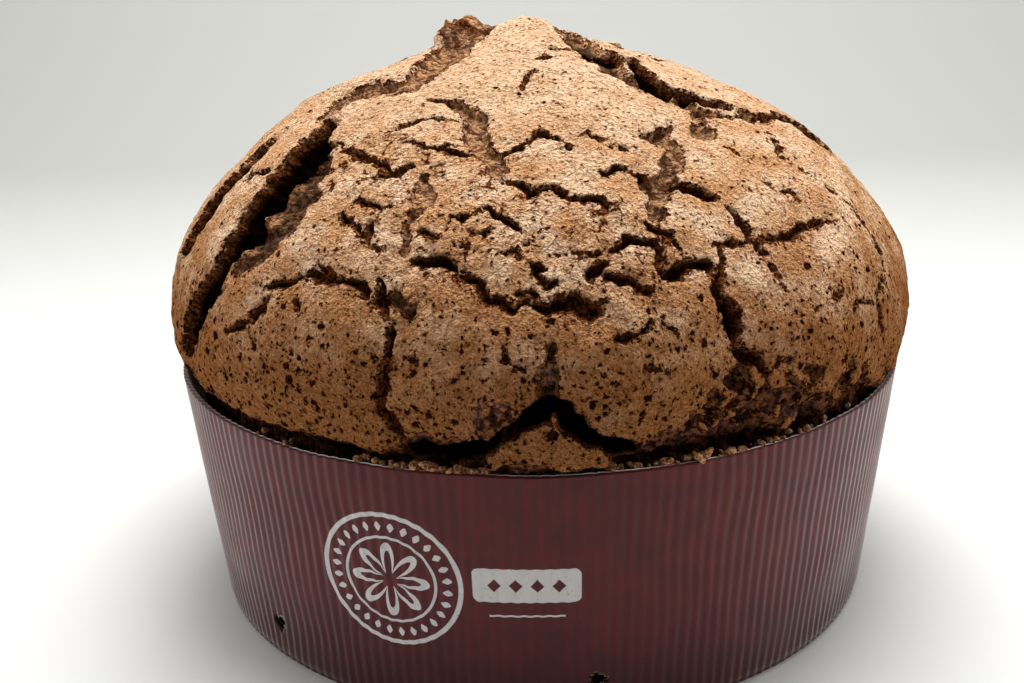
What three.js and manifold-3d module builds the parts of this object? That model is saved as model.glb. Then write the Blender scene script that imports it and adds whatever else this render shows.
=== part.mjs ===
// A low, wide chocolate panettone of one kilo in its fluted paper baking case, in millimetres, +Z up.
// The origin is the middle of the case's flat underside, and -Y is the front.
// The cake is one body: a straight-sided foot that fills the case, and a peaked dome above the rim whose
// pale crust has split into plates, with dark crumb bare between them. The case is a paper cup with
// vertical flutes, pierced near its foot by the two skewers that the cake hung from while it cooled.
import * as THREE from "three";
import { mergeVertices } from "three/addons/utils/BufferGeometryUtils.js";
import Module from "manifold-3d";

// The paper case
const rimRadius = 105;
const footRadius = 99;
const caseHeight = 68.2;
const paperThickness = 1.4;
const floorThickness = 1.2;
const footBevel = 1.1;
const fluteCount = 220;
const fluteDepth = 0.5;
const smoothSides = 110;

// The cake
const fitGap = 0.35;
const waistRadius = 105.3;
const waistHeight = 80.6;
const domeHeight = 77.3;
const domeSpread = 1.32;
const domeFullness = 2.22;
const shoulder = { radius: 104.4, above: 2.4 };
const middleHeight = 65;

// The two skewers run level and parallel through the foot of the cake.
const skewer = { radius: 2.3, height: 11.6, pitDepth: 9, heading: -18.4, apart: 25.8 };

// Mesh sizes
const coarseEdge = 12.4;
const crackEdge = 3.4;
const ridgeEdge = 4.2;
const wallSides = 60;
const crackReach = 0.6;
const snapReach = 0.95;

const degree = Math.PI / 180;
const clamp = (value, low, high) => Math.min(high, Math.max(low, value));
const smoothstep = (low, high, value) => {
  const t = clamp((value - low) / (high - low), 0, 1);
  return t * t * (3 - 2 * t);
};

// Every split and seam of the crust runs through points given as [azimuth, elevation] in degrees. Azimuth 0
// is the front and positive to the right, and elevation is seen from the cake's middle, just below the rim.
// half is half the width of the opening, in millimetres, and deep is how far its bottom lies below the
// crust. lip lifts the crust beside a split: on its left, going along the path, if it is positive.
const splits = [
  { half: 4.6, deep: 12, lip: -1.6, path: [[-55, 49], [-52, 41], [-51.5, 34], [-53.3, 25], [-58.5, 10]] },
  { half: 3.0, deep: 7, lip: 2.2, path: [[50, 74], [50, 69], [46.5, 60], [56, 52.5], [61, 45]] },
  { half: 2.0, deep: 5, lip: 1.2, path: [[62, 46.5], [74, 43], [76, 36]] },
  { half: 2.2, deep: 5, lip: 1.4, path: [[-80, 72], [-66, 66.5], [-61, 62], [-66.5, 58.5], [-78, 49]] },
  { half: 2.2, deep: 5, lip: 1.2, path: [[-62, 34.5], [-71, 36], [-78, 33], [-86, 21], [-85, 8]] },
];
const rimGaps = [
  { half: 3.4, deep: 9, path: [[-13, 3.8], [-5.5, 5.3], [0.5, 9.8], [3, 10.5], [5, 8.8], [10.5, 5]] },
  { half: 3.2, deep: 5, path: [[-66, 9], [-56, 4.5], [-40, 4], [-26, 3], [-14, 3.4]] },
  { half: 2.2, deep: 5, path: [[10.5, 4.5], [15, 3.2], [29, 5], [40, 4], [54, 3]] },
];
const bareCrumb = [
  { half: 6.4, deep: 3, path: [[-84, 80], [-60, 74], [-46, 68], [-43, 61.5], [-57, 53], [-58, 49.5]] },
  { half: 3.6, deep: 2.2, path: [[-40, 63], [-20, 57.5], [-14, 48], [-9, 42.5]] },
  { half: 4.0, deep: 2.2, path: [[37, 52], [26.5, 45], [22, 35], [18, 28]] },
  { half: 5.4, deep: 2.8, path: [[34, 78], [40, 70], [40, 63], [46, 54], [54, 48]] },
  { half: 5.0, deep: 3.4, path: [[-48.5, 45], [-45, 40], [-43.5, 32], [-49, 22]] },
  { half: 6.0, deep: 3.2, path: [[14, 5], [27, 8], [39, 7], [57, 4]] },
  { half: 4.4, deep: 3, path: [[1.2, 16.5], [1, 11]] },
  { half: 2.2, deep: 1.8, path: [[-19.5, 43], [-22, 38], [-20.5, 30], [-17.5, 23.5]] },
];
const seams = [
  { half: 1.8, deep: 4, path: [[-9.5, 42], [-6, 45.5], [1.5, 49], [7, 46.8], [10, 48.6], [18.5, 45.5]] },
  { half: 1.5, deep: 3.5, path: [[-4, 39.5], [0, 38], [4, 38], [7, 36.7], [14, 35]] },
  { half: 2.0, deep: 4, path: [[25, 39], [32, 35], [34, 30], [33.5, 28.5]] },
  { half: 1.5, deep: 2.5, path: [[33.5, 28], [41.5, 27.2], [51, 26]] },
  { half: 2.3, deep: 6, path: [[26.5, 27], [24.5, 22], [26.5, 17.5], [25.5, 14.5], [30, 12], [31, 9]] },
  { half: 1.4, deep: 3, path: [[16, 27], [21.5, 26.8], [24, 23]] },
  { half: 1.4, deep: 3, path: [[10.5, 26.5], [15.5, 24.3]] },
  { half: 1.6, deep: 3.5, path: [[-17, 26.5], [-14, 28], [-8, 26.4], [-4, 22.4], [0, 23.2], [7, 22]] },
  { half: 1.5, deep: 3, path: [[-17.5, 20.3], [-21, 24], [-27, 24.8], [-35.5, 22.8], [-43, 18.5]] },
  { half: 1.7, deep: 5, path: [[-17.5, 20.3], [-19.2, 14], [-19.5, 11], [-14, 3.8]] },
  { half: 1.6, deep: 3, path: [[-41.5, 43.5], [-33, 41.3], [-26, 41.5], [-19, 43.5]] },
  { half: 1.4, deep: 2.5, path: [[-34, 32.8], [-28, 30.2], [-22, 29.5]] },
  { half: 1.9, deep: 3.5, path: [[58.5, 25], [54, 16.4], [55, 11.7], [49.5, 9]] },
  { half: 1.5, deep: 3, path: [[63, 31], [71, 33], [79, 29.5], [88, 31]] },
  { half: 1.6, deep: 4, path: [[88, 31], [84.5, 22], [88, 14], [85, 6]] },
  { half: 1.5, deep: 3, path: [[-68, 26], [-76, 22], [-82, 26.5]] },
  { half: 1.7, deep: 4, path: [[-98, 38], [-102.5, 29], [-99, 19], [-103, 8]] },
];
// The torn ridges of crumb that stand above the crust at the very top
const crests = [
  { half: 9, high: 6.4, path: [[-96, 68], [-92, 74], [-88, 79]] },
  { half: 10, high: 3.0, path: [[-88, 79], [-76, 85], [60, 87.5]] },
];
// Places where the dome stands out from its smooth shape, or in from it. The azimuth and elevation are those
// of the middle of the bulge, reach is its size and high is how far it stands out.
const bulges = [
  { azimuth: -88, elevation: 52, reach: 22, high: 2.8 },
  { azimuth: 80, elevation: 40, reach: 22, high: 2.0 },
  { azimuth: -88, elevation: 8, reach: 20, high: -2.4 },
  { azimuth: 88, elevation: 8, reach: 22, high: 1.6 },
];

// The back of the cake has split in the same way: the front's openings, turned half round and warped.
function turnedToTheBack({ path, ...opening }) {
  const warped = path.map(([azimuth, elevation]) => [
    180 + azimuth * 0.94 + 7 * Math.sin(elevation * 0.11),
    elevation + 2.5 * Math.sin(azimuth * 0.09) * Math.cos(elevation * degree),
  ]);
  return { ...opening, path: warped };
}

// The cake's smooth outline as [radius, height], from the peak down, round the foot and under it
function cakeOutline() {
  const outline = [];
  const domeSteps = 90;
  for (let i = 0; i <= domeSteps; i++) {
    const rise = Math.sin((Math.PI / 2) * (1 - i / domeSteps));
    const radius = waistRadius * (1 - rise ** domeFullness) ** (1 / domeSpread);
    outline.push([radius, waistHeight + domeHeight * rise]);
  }
  outline.push([waistRadius - 0.5, caseHeight + 6], [shoulder.radius, caseHeight + shoulder.above]);
  const inside = (height) =>
    footRadius + ((rimRadius - footRadius) * height) / caseHeight - paperThickness - fitGap;
  outline.push([inside(caseHeight), caseHeight + fitGap]);
  const underside = floorThickness + fitGap;
  for (const height of [45, 22, underside + 1.5]) outline.push([inside(height), height]);
  outline.push([inside(underside) - 1.5, underside], [0, underside]);
  return outline;
}

const outline = cakeOutline();
const outlineAngles = outline.map(([radius, height]) => Math.atan2(height - middleHeight, radius));
const outlineReach = outline.map(([radius, height]) => Math.hypot(radius, height - middleHeight));
const rimIndex = outline.findIndex(([, height]) => height <= caseHeight + fitGap);
const rimAngle = Math.atan2(outline[rimIndex][1] - middleHeight, outline[rimIndex][0]);

// How far the smooth cake reaches from its middle in a direction, by its elevation in radians
function reachAt(elevation) {
  let next = outlineAngles.findIndex((angle) => angle <= elevation);
  if (next < 1) next = next === 0 ? 1 : outline.length - 1;
  const span = outlineAngles[next - 1] - outlineAngles[next];
  const t = span > 0 ? clamp((outlineAngles[next - 1] - elevation) / span, 0, 1) : 0;
  return outlineReach[next - 1] + (outlineReach[next] - outlineReach[next - 1]) * t;
}

const middle = new THREE.Vector3(0, 0, middleHeight);

function smoothPoint(azimuth, elevation) {
  const reach = reachAt(elevation);
  return new THREE.Vector3(
    reach * Math.cos(elevation) * Math.sin(azimuth),
    -reach * Math.cos(elevation) * Math.cos(azimuth),
    middleHeight + reach * Math.sin(elevation),
  );
}

// Moves a point straight out from the middle, or in, onto the smooth cake.
function ontoCake(point) {
  const arm = point.clone().sub(middle);
  const elevation = Math.atan2(arm.z, Math.hypot(arm.x, arm.y));
  return arm.setLength(reachAt(elevation)).add(middle);
}

// An opening's path on the smooth cake, with points every few millimetres
function laidPath(path) {
  const stepLength = 5;
  const points = path.map(([azimuth, elevation]) => smoothPoint(azimuth * degree, elevation * degree));
  const laid = [points[0]];
  for (let i = 1; i < points.length; i++) {
    const steps = Math.max(1, Math.round(points[i].distanceTo(points[i - 1]) / stepLength));
    for (let k = 1; k <= steps; k++) {
      laid.push(ontoCake(points[i - 1].clone().lerp(points[i], k / steps)));
    }
  }
  return laid;
}

// A path with a ball round it, so points far from it are passed over quickly
function opened({ path, ...opening }) {
  const laid = laidPath(path);
  const ball = new THREE.Box3().setFromPoints(laid).getBoundingSphere(new THREE.Sphere());
  return { ...opening, laid, ball };
}

// The distance from a point to a path, the path's nearest place, and the side of it that the point lies on:
// 1 for the left, seen from outside. Of a path that is out of reach, only that it is far is told.
function fromPath(point, { laid, ball }, reach) {
  let distance = Infinity;
  let side = 0;
  let nearest = null;
  if (ball.distanceToPoint(point) > reach) return { distance, side, nearest };
  const place = new THREE.Vector3();
  const line = new THREE.Line3();
  for (let i = 1; i < laid.length; i++) {
    line.set(laid[i - 1], laid[i]);
    line.closestPointToPoint(point, true, place);
    const away = place.distanceTo(point);
    if (away < distance) {
      distance = away;
      nearest = place.clone();
      const across = line.delta(new THREE.Vector3()).cross(point.clone().sub(place));
      side = Math.sign(across.dot(point.clone().sub(middle)));
    }
  }
  return { distance, side, nearest };
}

const front = [...splits, ...rimGaps, ...bareCrumb, ...seams];
const openings = [...front, ...front.map(turnedToTheBack)].map(opened);
const crestLines = crests.map(opened);

const bulgePlaces = bulges.map(({ azimuth, elevation, ...bulge }) => ({
  ...bulge,
  centre: smoothPoint(azimuth * degree, elevation * degree),
}));

// Low swells and the bulges, which keep the dome from being a turned shape
function swell(point) {
  const { x, y, z } = point;
  const broad = 0.9 * Math.sin(x * 0.045 + 1.3) * Math.cos(y * 0.05 - 0.4);
  const close = 0.6 * Math.sin(x * 0.09 - z * 0.07 + y * 0.06);
  const bulged = bulgePlaces.map(({ centre, reach, high }) => {
    return high * (1 - smoothstep(0, 1, centre.distanceTo(point) / reach / 1.5));
  });
  return bulged.reduce((sum, part) => sum + part, broad + close);
}

// How far the finished surface lies outside the smooth cake at a point
function relief(point) {
  let sunk = 0;
  let lifted = 0;
  let nearestEdge = Infinity;
  for (const opening of openings) {
    const { half, deep, lip = 0 } = opening;
    const { distance, side } = fromPath(point, opening, half * 5 + 4);
    const share = distance / half;
    sunk = Math.max(sunk, deep * (1 - smoothstep(0.2, 1.2, share)));
    nearestEdge = Math.min(nearestEdge, distance - half);
    const onLip = lip !== 0 && side === Math.sign(lip);
    if (onLip) lifted = Math.max(lifted, Math.abs(lip) * (1 - smoothstep(1, 5, share)));
  }
  const plateBulge = 1.6;
  const plateReach = 9;
  const pillow = plateBulge * (smoothstep(0, plateReach, nearestEdge) - 0.6);
  const ridges = crestLines.map((crest) => {
    return crest.high * (1 - smoothstep(0.1, 1, fromPath(point, crest, crest.half).distance / crest.half));
  });
  const ridge = Math.max(...ridges);
  return swell(point) + pillow + lifted + ridge - sunk;
}

// Rings of points down the smooth cake, as far apart as they are along each ring
function ringMesh() {
  const points = [];
  const rings = [];
  const addRing = (radius, height, count, turn) => {
    const ring = [];
    for (let i = 0; i < count; i++) {
      const azimuth = ((i + turn) / count) * 2 * Math.PI;
      ring.push(points.length);
      points.push(new THREE.Vector3(radius * Math.sin(azimuth), -radius * Math.cos(azimuth), height));
    }
    rings.push(ring);
  };
  const dome = outline.slice(0, rimIndex).map(([radius, height]) => new THREE.Vector2(radius, height));
  const lengths = [0];
  for (let i = 1; i < dome.length; i++) lengths.push(lengths[i - 1] + dome[i].distanceTo(dome[i - 1]));
  const total = lengths.at(-1);
  const rows = Math.round(total / coarseEdge);
  addRing(0, dome[0].y, 1, 0);
  for (let row = 1; row <= rows; row++) {
    const along = (total * row) / rows;
    const i = Math.max(1, lengths.findIndex((length) => length >= along - 1e-9));
    const share = (along - lengths[i - 1]) / (lengths[i] - lengths[i - 1]);
    const place = dome[i - 1].clone().lerp(dome[i], share);
    const count = row === rows ? wallSides : Math.max(6, Math.round((2 * Math.PI * place.x) / coarseEdge));
    addRing(place.x, place.y, count, (row % 2) / 2);
  }
  for (const [radius, height] of outline.slice(rimIndex, -1)) addRing(radius, height, wallSides, 0);
  addRing(0, outline.at(-1)[1], 1, 0);
  return { points, triangles: rings.slice(1).flatMap((ring, i) => stitch(rings[i], ring)) };
}

// Triangles between two closed rings, the upper one first, that may have different numbers of points
function stitch(upper, lower) {
  const triangles = [];
  let i = 0;
  let j = 0;
  const upperSteps = upper.length > 1 ? upper.length : 0;
  const lowerSteps = lower.length > 1 ? lower.length : 0;
  while (i < upperSteps || j < lowerSteps) {
    const takeUpper = j >= lowerSteps || (i < upperSteps && (i + 1) / upperSteps <= (j + 1) / lowerSteps);
    const a = upper[i % upper.length];
    const b = lower[j % lower.length];
    if (takeUpper) {
      triangles.push([a, b, upper[(i + 1) % upper.length]]);
      i++;
    } else {
      triangles.push([a, b, lower[(j + 1) % lower.length]]);
      j++;
    }
  }
  return triangles;
}

// Halves every edge that is longer than it should be where it lies, and splits the triangles to match.
function refined({ points, triangles }, wantedEdge) {
  const halves = new Map();
  const halfOf = (a, b) => {
    const key = a < b ? `${a}_${b}` : `${b}_${a}`;
    if (!halves.has(key)) {
      const half = points[a].clone().lerp(points[b], 0.5);
      const split = points[a].distanceTo(points[b]) > wantedEdge(half);
      halves.set(key, split ? points.push(ontoCake(half)) - 1 : -1);
    }
    return halves.get(key);
  };
  const made = [];
  for (const corners of triangles) {
    const mids = [0, 1, 2].map((i) => halfOf(corners[i], corners[(i + 1) % 3]));
    const count = mids.filter((mid) => mid >= 0).length;
    let turn = 0;
    if (count === 1) turn = mids.findIndex((mid) => mid >= 0);
    if (count === 2) turn = (mids.findIndex((mid) => mid < 0) + 1) % 3;
    const [a, b, c] = [0, 1, 2].map((i) => corners[(i + turn) % 3]);
    const [ab, bc, ca] = [0, 1, 2].map((i) => mids[(i + turn) % 3]);
    if (count === 0) made.push([a, b, c]);
    if (count === 1) made.push([a, ab, c], [ab, b, c]);
    if (count === 2) made.push([ab, b, bc], [a, ab, bc], [a, bc, c]);
    if (count === 3) made.push([a, ab, ca], [ab, b, bc], [ca, bc, c], [ab, bc, ca]);
  }
  return { points, triangles: made };
}

// Edges are short on and beside the openings and on the ridges at the top. They stay coarse in the hidden
// foot and within a plate.
function wantedEdge(point) {
  if (point.z < caseHeight + fitGap + 0.1) return Infinity;
  let wanted = coarseEdge;
  for (const opening of openings) {
    const beyond = fromPath(point, opening, opening.half + coarseEdge).distance - opening.half - crackReach;
    if (beyond < 0) return crackEdge;
    wanted = Math.min(wanted, crackEdge + beyond * 1.6);
  }
  for (const crest of crestLines) {
    if (fromPath(point, crest, crest.half).distance < crest.half) wanted = Math.min(wanted, ridgeEdge);
  }
  return Math.max(crackEdge, wanted);
}

function geometryOf(points, triangles) {
  const geometry = new THREE.BufferGeometry().setFromPoints(points);
  geometry.setIndex(triangles.flat());
  return geometry;
}

// A point that lies close beside the middle of an opening moves onto it, so that its bottom runs unbroken.
function snapped(point) {
  if (point.z < caseHeight + fitGap + 0.1) return point;
  for (const opening of openings) {
    const { distance, nearest } = fromPath(point, opening, snapReach);
    if (distance < snapReach) return ontoCake(nearest);
  }
  return point;
}

function cakeGeometry() {
  let mesh = ringMesh();
  const rounds = 2;
  for (let round = 0; round < rounds; round++) mesh = refined(mesh, wantedEdge);
  const shaped = mesh.points.map(snapped).map((point) => {
    const arm = point.clone().sub(middle);
    const elevation = Math.atan2(arm.z, Math.hypot(arm.x, arm.y));
    const fade = smoothstep(rimAngle, rimAngle + 3 * degree, elevation);
    return fade > 0 ? arm.setLength(arm.length() + relief(point) * fade).add(middle) : point;
  });
  return geometryOf(shaped, mesh.triangles);
}

// A ring of the case: fluted if it has two points to a flute, and smooth otherwise
function caseRing(points, radius, height, count) {
  const first = points.length;
  for (let i = 0; i < count; i++) {
    const azimuth = (i / count) * 2 * Math.PI;
    const valley = count > smoothSides && i % 2 ? fluteDepth : 0;
    const reach = radius - valley;
    points.push(new THREE.Vector3(reach * Math.sin(azimuth), -reach * Math.cos(azimuth), height));
  }
  return Array.from({ length: count }, (_, i) => first + i);
}

// The case is one turned section: down the fluted outside, under the floor, and up the smooth inside.
function caseGeometry() {
  const fluted = 2 * fluteCount;
  const points = [];
  const section = [
    caseRing(points, rimRadius - paperThickness, caseHeight, smoothSides),
    caseRing(points, rimRadius, caseHeight, fluted),
    caseRing(points, footRadius + (footBevel * (rimRadius - footRadius)) / caseHeight, footBevel, fluted),
    caseRing(points, footRadius - footBevel, 0, smoothSides),
    caseRing(points, 0, 0, 1),
  ];
  const inner = [
    caseRing(points, 0, floorThickness, 1),
    caseRing(points, footRadius - paperThickness, floorThickness, smoothSides),
    section[0],
  ];
  const walls = (rings) => rings.slice(1).flatMap((ring, i) => stitch(rings[i], ring));
  return geometryOf(points, [...walls(section), ...walls(inner)]);
}

const wasm = await Module();
wasm.setup();

function solidOf(geometry) {
  const bare = new THREE.BufferGeometry();
  const positions = (geometry.index ? geometry.toNonIndexed() : geometry).getAttribute("position");
  bare.setAttribute("position", positions);
  const merged = mergeVertices(bare, 1e-4);
  return new wasm.Manifold(
    new wasm.Mesh({
      numProp: 3,
      vertProperties: merged.attributes.position.array,
      triVerts: new Uint32Array(merged.index.array),
    }),
  );
}

function geometryFrom(solid) {
  const { vertProperties, triVerts } = solid.getMesh();
  const geometry = new THREE.BufferGeometry();
  geometry.setAttribute("position", new THREE.BufferAttribute(vertProperties, 3));
  geometry.setIndex(new THREE.BufferAttribute(triVerts, 1));
  geometry.computeVertexNormals();
  return geometry;
}

// The four holes of the two skewers: each goes through the paper and a little way into the crumb.
function skewerHoles() {
  const holes = [];
  for (const side of [-1, 1]) {
    for (const end of [0, 180]) {
      const azimuth = (skewer.heading + end + side * skewer.apart) * degree;
      const along = (skewer.heading + end) * degree;
      const length = 2 * skewer.pitDepth;
      const hole = new THREE.CylinderGeometry(skewer.radius, skewer.radius * 0.7, length, 9);
      hole.rotateZ(-Math.PI / 2);
      hole.rotateZ(along - Math.PI / 2);
      const wallRadius = footRadius + ((rimRadius - footRadius) * skewer.height) / caseHeight;
      hole.translate(wallRadius * Math.sin(azimuth), -wallRadius * Math.cos(azimuth), skewer.height);
      holes.push(solidOf(hole));
    }
  }
  return holes;
}

function pierced(geometry, holes) {
  return geometryFrom(holes.reduce((solid, hole) => solid.subtract(hole), solidOf(geometry)));
}

const holes = skewerHoles();

const paper = new THREE.MeshStandardMaterial({ color: 0x4a1a1c, roughness: 0.45, metalness: 0 });
const paperCase = new THREE.Mesh(pierced(caseGeometry(), holes), paper);
paperCase.name = "paper_case";

const crust = new THREE.MeshStandardMaterial({ color: 0xa9744a, roughness: 0.9, metalness: 0 });
const cake = new THREE.Mesh(pierced(cakeGeometry(), holes), crust);
cake.name = "cake";

const panettone = new THREE.Group();
panettone.add(paperCase, cake);

export default panettone;
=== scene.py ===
import math

import bmesh
import bpy
import numpy as np
from mathutils import Matrix, Vector


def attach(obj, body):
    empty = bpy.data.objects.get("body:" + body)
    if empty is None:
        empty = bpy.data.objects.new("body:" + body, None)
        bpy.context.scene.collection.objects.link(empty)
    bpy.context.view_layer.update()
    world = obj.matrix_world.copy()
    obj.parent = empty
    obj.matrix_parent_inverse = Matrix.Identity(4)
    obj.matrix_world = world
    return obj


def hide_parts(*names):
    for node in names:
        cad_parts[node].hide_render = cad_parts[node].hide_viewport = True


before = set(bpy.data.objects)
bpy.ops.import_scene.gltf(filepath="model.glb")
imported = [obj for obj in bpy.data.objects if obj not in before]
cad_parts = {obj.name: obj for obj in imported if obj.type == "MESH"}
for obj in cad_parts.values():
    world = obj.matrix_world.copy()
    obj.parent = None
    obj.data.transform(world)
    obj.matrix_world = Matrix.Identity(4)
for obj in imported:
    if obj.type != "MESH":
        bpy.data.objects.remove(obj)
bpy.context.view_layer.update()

# Lengths are in millimetres until a mesh is made. Azimuth 0 is the front and positive to the right,
# and elevation is seen from the cake's middle, just below the rim. Both are in degrees.
mm = 0.001

sizes = {
    "rimRadius": 105.0,
    "footRadius": 99.0,
    "caseHeight": 68.2,
    "paper": 1.2,
    "waistRadius": 105.3,
    "waistHeight": 80.6,
    "domeHeight": 77.3,
    "domeSpread": 1.32,
    "domeFullness": 2.22,
    "middleHeight": 65.0,
    "lean": -2.4,  # the peak stands this far to the right of the foot's middle
}
skewer = {"height": 11.6, "radius": 2.3, "heading": -18.4, "apart": 25.8}


# helpers
def smoothStep(low, high, value):
    t = np.clip((value - low) / (high - low), 0, 1)
    return t * t * (3 - 2 * t)


def blobs(points, cell, seed):
    # smooth noise between -1 and 1, with one drawn value at each corner of a grid of cells
    size = 48
    drawn = np.random.default_rng(seed).uniform(-1, 1, (size, size, size))
    place = points / cell
    corner = np.floor(place).astype(int)
    t = place - corner
    t = t * t * (3 - 2 * t)
    value = 0
    for x in (0, 1):
        for y in (0, 1):
            for z in (0, 1):
                share = np.abs(1 - x - t[:, 0]) * np.abs(1 - y - t[:, 1]) * np.abs(1 - z - t[:, 2])
                i, j, k = ((corner + (x, y, z)) % size).T
                value = value + share * drawn[i, j, k]
    return value


def roughness(points, cell, octaves, seed):
    value = 0
    for octave in range(octaves):
        value = value + blobs(points, cell / 2**octave, seed + octave) / 2**octave
    return value


def meshObject(name, points, faces):
    mesh = bpy.data.meshes.new(name)
    mesh.from_pydata((np.asarray(points) * mm).tolist(), [], faces)
    mesh.shade_smooth()
    made = bpy.data.objects.new(name, mesh)
    bpy.context.scene.collection.objects.link(made)
    return made


def meshPiece(name, points, faces, body="root"):
    piece = meshObject(name, points, faces.tolist())
    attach(piece, body)
    return piece


# shader maths
class Wire:
    # a shader socket that takes part in sums like a number
    def __init__(self, shader, socket):
        self.shader = shader
        self.socket = socket

    def math(self, operation, *values):
        return self.shader.node("ShaderNodeMath", {"operation": operation}, dict(enumerate(values)))

    def __add__(self, other):
        return self.math("ADD", self, other)

    def __radd__(self, other):
        return self.math("ADD", other, self)

    def __sub__(self, other):
        return self.math("SUBTRACT", self, other)

    def __rsub__(self, other):
        return self.math("SUBTRACT", other, self)

    def __mul__(self, other):
        return self.math("MULTIPLY", self, other)

    def __rmul__(self, other):
        return self.math("MULTIPLY", other, self)

    def __truediv__(self, other):
        return self.math("DIVIDE", self, other)

    def __pow__(self, other):
        return self.math("POWER", self, other)

    def __abs__(self):
        return self.math("ABSOLUTE", self)

    def cos(self):
        return self.math("COSINE", self)

    def atLeast(self, other):
        return self.math("MAXIMUM", self, other)

    def atMost(self, other):
        return self.math("MINIMUM", self, other)

    def steps(self, low, high):
        # 0 below low and 1 above high, smooth between them; the other way round if low is the larger
        limits = {0: self, 1: low, 2: high, 3: 0.0, 4: 1.0}
        if low > high:
            limits = {0: self, 1: high, 2: low, 3: 1.0, 4: 0.0}
        return self.shader.node("ShaderNodeMapRange", {"interpolation_type": "SMOOTHSTEP"}, limits)


class Shader:
    def __init__(self, name):
        self.material = bpy.data.materials.new(name)
        self.material.use_nodes = True
        self.tree = self.material.node_tree
        self.surface = self.tree.nodes["Principled BSDF"]

    def node(self, kind, settings, values, output=0):
        made = self.tree.nodes.new(kind)
        for key, value in settings.items():
            setattr(made, key, value)
        for key, value in values.items():
            if isinstance(value, Wire):
                self.tree.links.new(value.socket, made.inputs[key])
            else:
                made.inputs[key].default_value = value
        return Wire(self, made.outputs[output])

    def place(self):
        return self.node("ShaderNodeTexCoord", {}, {}, "Object")

    def attribute(self, name):
        return self.node("ShaderNodeAttribute", {"attribute_name": name}, {}, "Fac")

    def noise(self, place, cell, detail=2.0, output="Factor"):
        values = {"Vector": place, "Scale": 1 / (cell * mm), "Detail": detail}
        return self.node("ShaderNodeTexNoise", {}, values, 0 if output == "Factor" else 1)

    def cells(self, place, cell, output, feature="F1"):
        values = {"Vector": place, "Scale": 1 / (cell * mm)}
        return self.node("ShaderNodeTexVoronoi", {"feature": feature}, values, output)

    def vector(self, operation, *values):
        return self.node("ShaderNodeVectorMath", {"operation": operation}, dict(enumerate(values)))

    def shaken(self, place, cell, reach):
        # a place moved about by noise, up to about reach millimetres
        push = self.vector("SUBTRACT", self.noise(place, cell, 0.0, "Color"), (0.5, 0.5, 0.5))
        push = self.node("ShaderNodeVectorMath", {"operation": "SCALE"}, {0: push, "Scale": reach * mm * 2})
        return self.vector("ADD", place, push)

    def split(self, wire):
        return [self.node("ShaderNodeSeparateXYZ", {}, {0: wire}, axis) for axis in "XYZ"]

    def mix(self, share, first, second):
        return self.node("ShaderNodeMix", {"data_type": "RGBA"}, {0: share, 6: first, 7: second}, 2)

    def bump(self, height, strength=1.0):
        return self.node("ShaderNodeBump", {}, {"Height": height, "Distance": mm, "Strength": strength})

    def feed(self, **sockets):
        for key, value in sockets.items():
            socket = self.surface.inputs[key.replace("_", " ")]
            if isinstance(value, Wire):
                self.tree.links.new(value.socket, socket)
            else:
                socket.default_value = value
        return self.material


def colour(red, green, blue):
    # a colour as read off a screen, 0 to 255, turned into the shader's linear values
    linear = [((c / 255 + 0.055) / 1.055) ** 2.4 if c > 10 else c / 255 / 12.92 for c in (red, green, blue)]
    return (*linear, 1.0)


# the cake
cakeSetup = {
    "coarseEdge": 2.4,
    "fineEdge": 0.9,
    "startEdge": 9.6,
    "crust": 1.5,  # how far the crust stands above the bare crumb
    "ragged": 0.9,  # how far the edges of the crust wander
    "seamDepth": 0.75,  # how deep the seams go, of the depths that they are listed with
    "smallCracks": 30,
    "tracedTo": 75,  # azimuth up to which every crack is traced, so that none is drawn there
    "halvings": 5,  # how often long edges of the cake's mesh are halved
    "seed": 11,
}

# Each split of the crust: half its width, its depth, how far the crust beside it lifts, and its path.
# The lift is on the left of the path, going along it and seen from outside, or on the right if negative.
splits = [
    (4.7, 17, -1.6, [(-51.5, 47), (-49.5, 42), (-48.5, 37.3), (-48.3, 33.6), (-48.5, 30), (-48.7, 27),
     (-50, 23)]),
    (4.0, 15, -1.2, [(-49.5, 25), (-51.5, 20), (-54, 15.5), (-57.5, 10)]),
    (1.5, 6, 1.4, [(-84, 73), (-70, 69), (-63, 66), (-66, 62.5), (-73, 59), (-79, 54.5), (-84, 49)]),
    (2.0, 6, -1.6, [(-67.5, 41), (-66, 38), (-65, 35.5), (-66.5, 32.5), (-66.5, 29.5), (-67, 26),
     (-68.5, 21)]),
    (1.0, 4, 0, [(-65, 36), (-61, 35), (-57.5, 35), (-53.5, 37)]),
    (1.7, 9, 1.5, [(44, 77), (45.5, 73.5), (49, 70.5), (51.5, 67.5), (47.5, 63.5), (46, 61), (47, 59),
     (50.5, 57.5)]),
    (1.7, 8, 1.5, [(50.5, 57.5), (52.5, 55.5), (54.5, 54), (56.5, 52.3), (58.3, 50.6), (59.5, 48.5)]),
    (1.2, 4.5, 1.2, [(62, 46.5), (70, 45.5), (74, 43), (73, 40), (76, 36)]),
    (2.1, 13, 0, [(-16.5, 4.6), (-12, 4.2), (-8, 5), (-4.5, 6.5), (-1, 9), (1.5, 10.8), (4, 9), (7, 6.5),
     (12, 4.2)]),
]
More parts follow.
